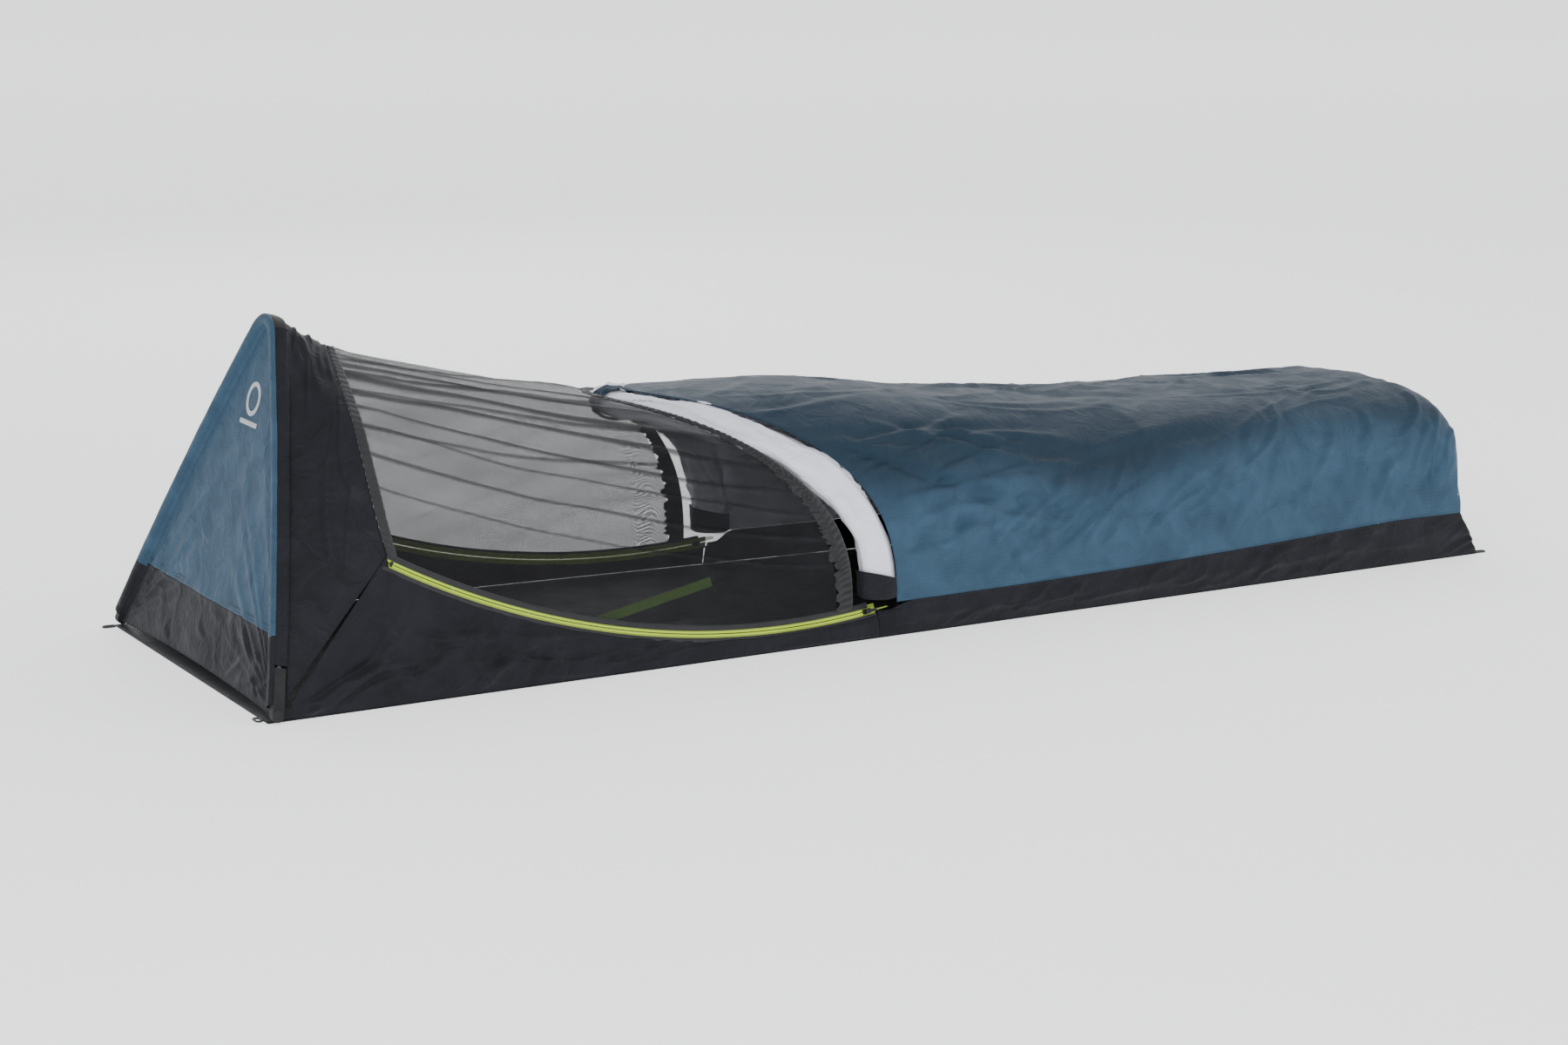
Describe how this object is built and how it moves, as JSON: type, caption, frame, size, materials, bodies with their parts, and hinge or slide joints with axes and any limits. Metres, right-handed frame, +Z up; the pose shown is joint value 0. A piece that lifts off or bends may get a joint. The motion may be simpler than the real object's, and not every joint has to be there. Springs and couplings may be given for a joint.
{
  "type": "bivy sack",
  "caption": "Low hooped bivy sack: tapered floor with low side walls, bent pole and leaning head panel, netting on curved zips, rolled-back shell flap and rounded foot.",
  "frame": {"origin": "centre of the footprint on the ground, under the middle of the floor", "axes": "+X from the head end to the foot end, +Y to the far side, +Z up"},
  "size_m": [2.194, 0.679, 0.51],
  "materials": {
    "floor_fabric": "coated nylon",
    "dark_fabric": "ripstop nylon",
    "blue_fabric": "waterproof breathable nylon",
    "blue_top_fabric": "waterproof breathable nylon",
    "white_lining": "laminate lining",
    "netting": "no-see-um netting",
    "binding_tape": "woven tape",
    "webbing": "nylon webbing",
    "bright_tape": "woven zip tape",
    "bright_coil": "nylon coil",
    "slider_metal": "enamel",
    "pole_glass_fibre": "wound glass fibre",
    "ferrule_metal": "satin",
    "shock_cord": "braided elastic cord",
    "print": "screen print",
    "loop_cord": "braided cord"
  },
  "bodies": {
    "sack": {"floor_sheet": "floor_fabric", "foot_band": "dark_fabric", "shell_body": "blue_fabric", "foot_cap": "blue_fabric", "rolled_flap": "white_lining", "flap_keeper": "blue_top_fabric", "hood_canopy": "dark_fabric", "canopy_binding": "binding_tape", "mesh_panel": "netting", "mesh_hem": "binding_tape", "inner_pocket": "netting", "pocket_trim": "bright_tape", "stake_loop_head_near": "loop_cord", "stake_loop_head_far": "loop_cord", "stake_loop_foot_near": "loop_cord", "stake_loop_foot_far": "loop_cord", "side_wall_near": "dark_fabric", "side_wall_far": "dark_fabric", "wall_gusset_near": "dark_fabric", "wall_gusset_far": "dark_fabric", "low_band_near": "dark_fabric", "low_band_far": "dark_fabric", "zip_garage_near": "dark_fabric", "zip_garage_far": "dark_fabric", "zip_tape_lower_near": "bright_tape", "zip_tape_lower_far": "bright_tape", "zip_tape_upper_near": "bright_tape", "zip_tape_upper_far": "bright_tape", "zip_coil_lower_near": "bright_coil", "zip_coil_lower_far": "bright_coil", "zip_coil_upper_near": "bright_coil", "zip_coil_upper_far": "bright_coil", "zip_stops_near": "slider_metal", "zip_stops_far": "slider_metal"},
    "hoop": {"pole_section_1": "pole_glass_fibre", "pole_section_2": "pole_glass_fibre", "pole_section_3": "pole_glass_fibre", "pole_section_4": "pole_glass_fibre", "pole_section_5": "pole_glass_fibre", "pole_ferrules": "ferrule_metal", "pole_tips": "ferrule_metal", "pole_shock_cord": "shock_cord", "pole_sleeve": "dark_fabric", "head_panel_upper": "blue_fabric", "head_panel_lower": "dark_fabric", "head_mark": "print", "pole_pocket_near": "webbing", "pole_pocket_far": "webbing"},
    "slider_near": {"zip_slider_near": "slider_metal"},
    "pull_near": {"zip_pull_near": "slider_metal", "pull_cord_near": "bright_tape"},
    "slider_far": {"zip_slider_far": "slider_metal"},
    "pull_far": {"zip_pull_far": "slider_metal", "pull_cord_far": "bright_tape"}
  },
  "joints": [
    {"name": "hoop_fold", "type": "hinge", "parent": "sack", "child": "hoop", "pos_m": [-1.063, 0, 0.0108], "axis": [0, 1, 0], "range_deg": [0, 60], "deforming": ["mesh_panel", "hood_canopy", "canopy_binding", "wall_gusset_near", "wall_gusset_far"]},
    {"name": "zip_travel_near", "type": "hinge", "parent": "sack", "child": "slider_near", "pos_m": [-0.26768, 0.03264, 1.21913], "axis": [-0.0406, 0.9646, -0.2605], "range_deg": [0, 35.98]},
    {"name": "pull_swing_near", "type": "hinge", "parent": "slider_near", "child": "pull_near", "pos_m": [-0.11346, -0.28609, 0.04222], "axis": [0.1252, -0.2537, -0.9591], "range_deg": [0, 160]},
    {"name": "zip_travel_far", "type": "hinge", "parent": "sack", "child": "slider_far", "pos_m": [-0.26768, -0.03264, 1.21913], "axis": [0.0406, 0.9646, 0.2605], "range_deg": [0, 35.98]},
    {"name": "pull_swing_far", "type": "hinge", "parent": "slider_far", "child": "pull_far", "pos_m": [-0.11346, 0.28609, 0.04222], "axis": [-0.1252, -0.2537, 0.9591], "range_deg": [0, 160]}
  ]
}
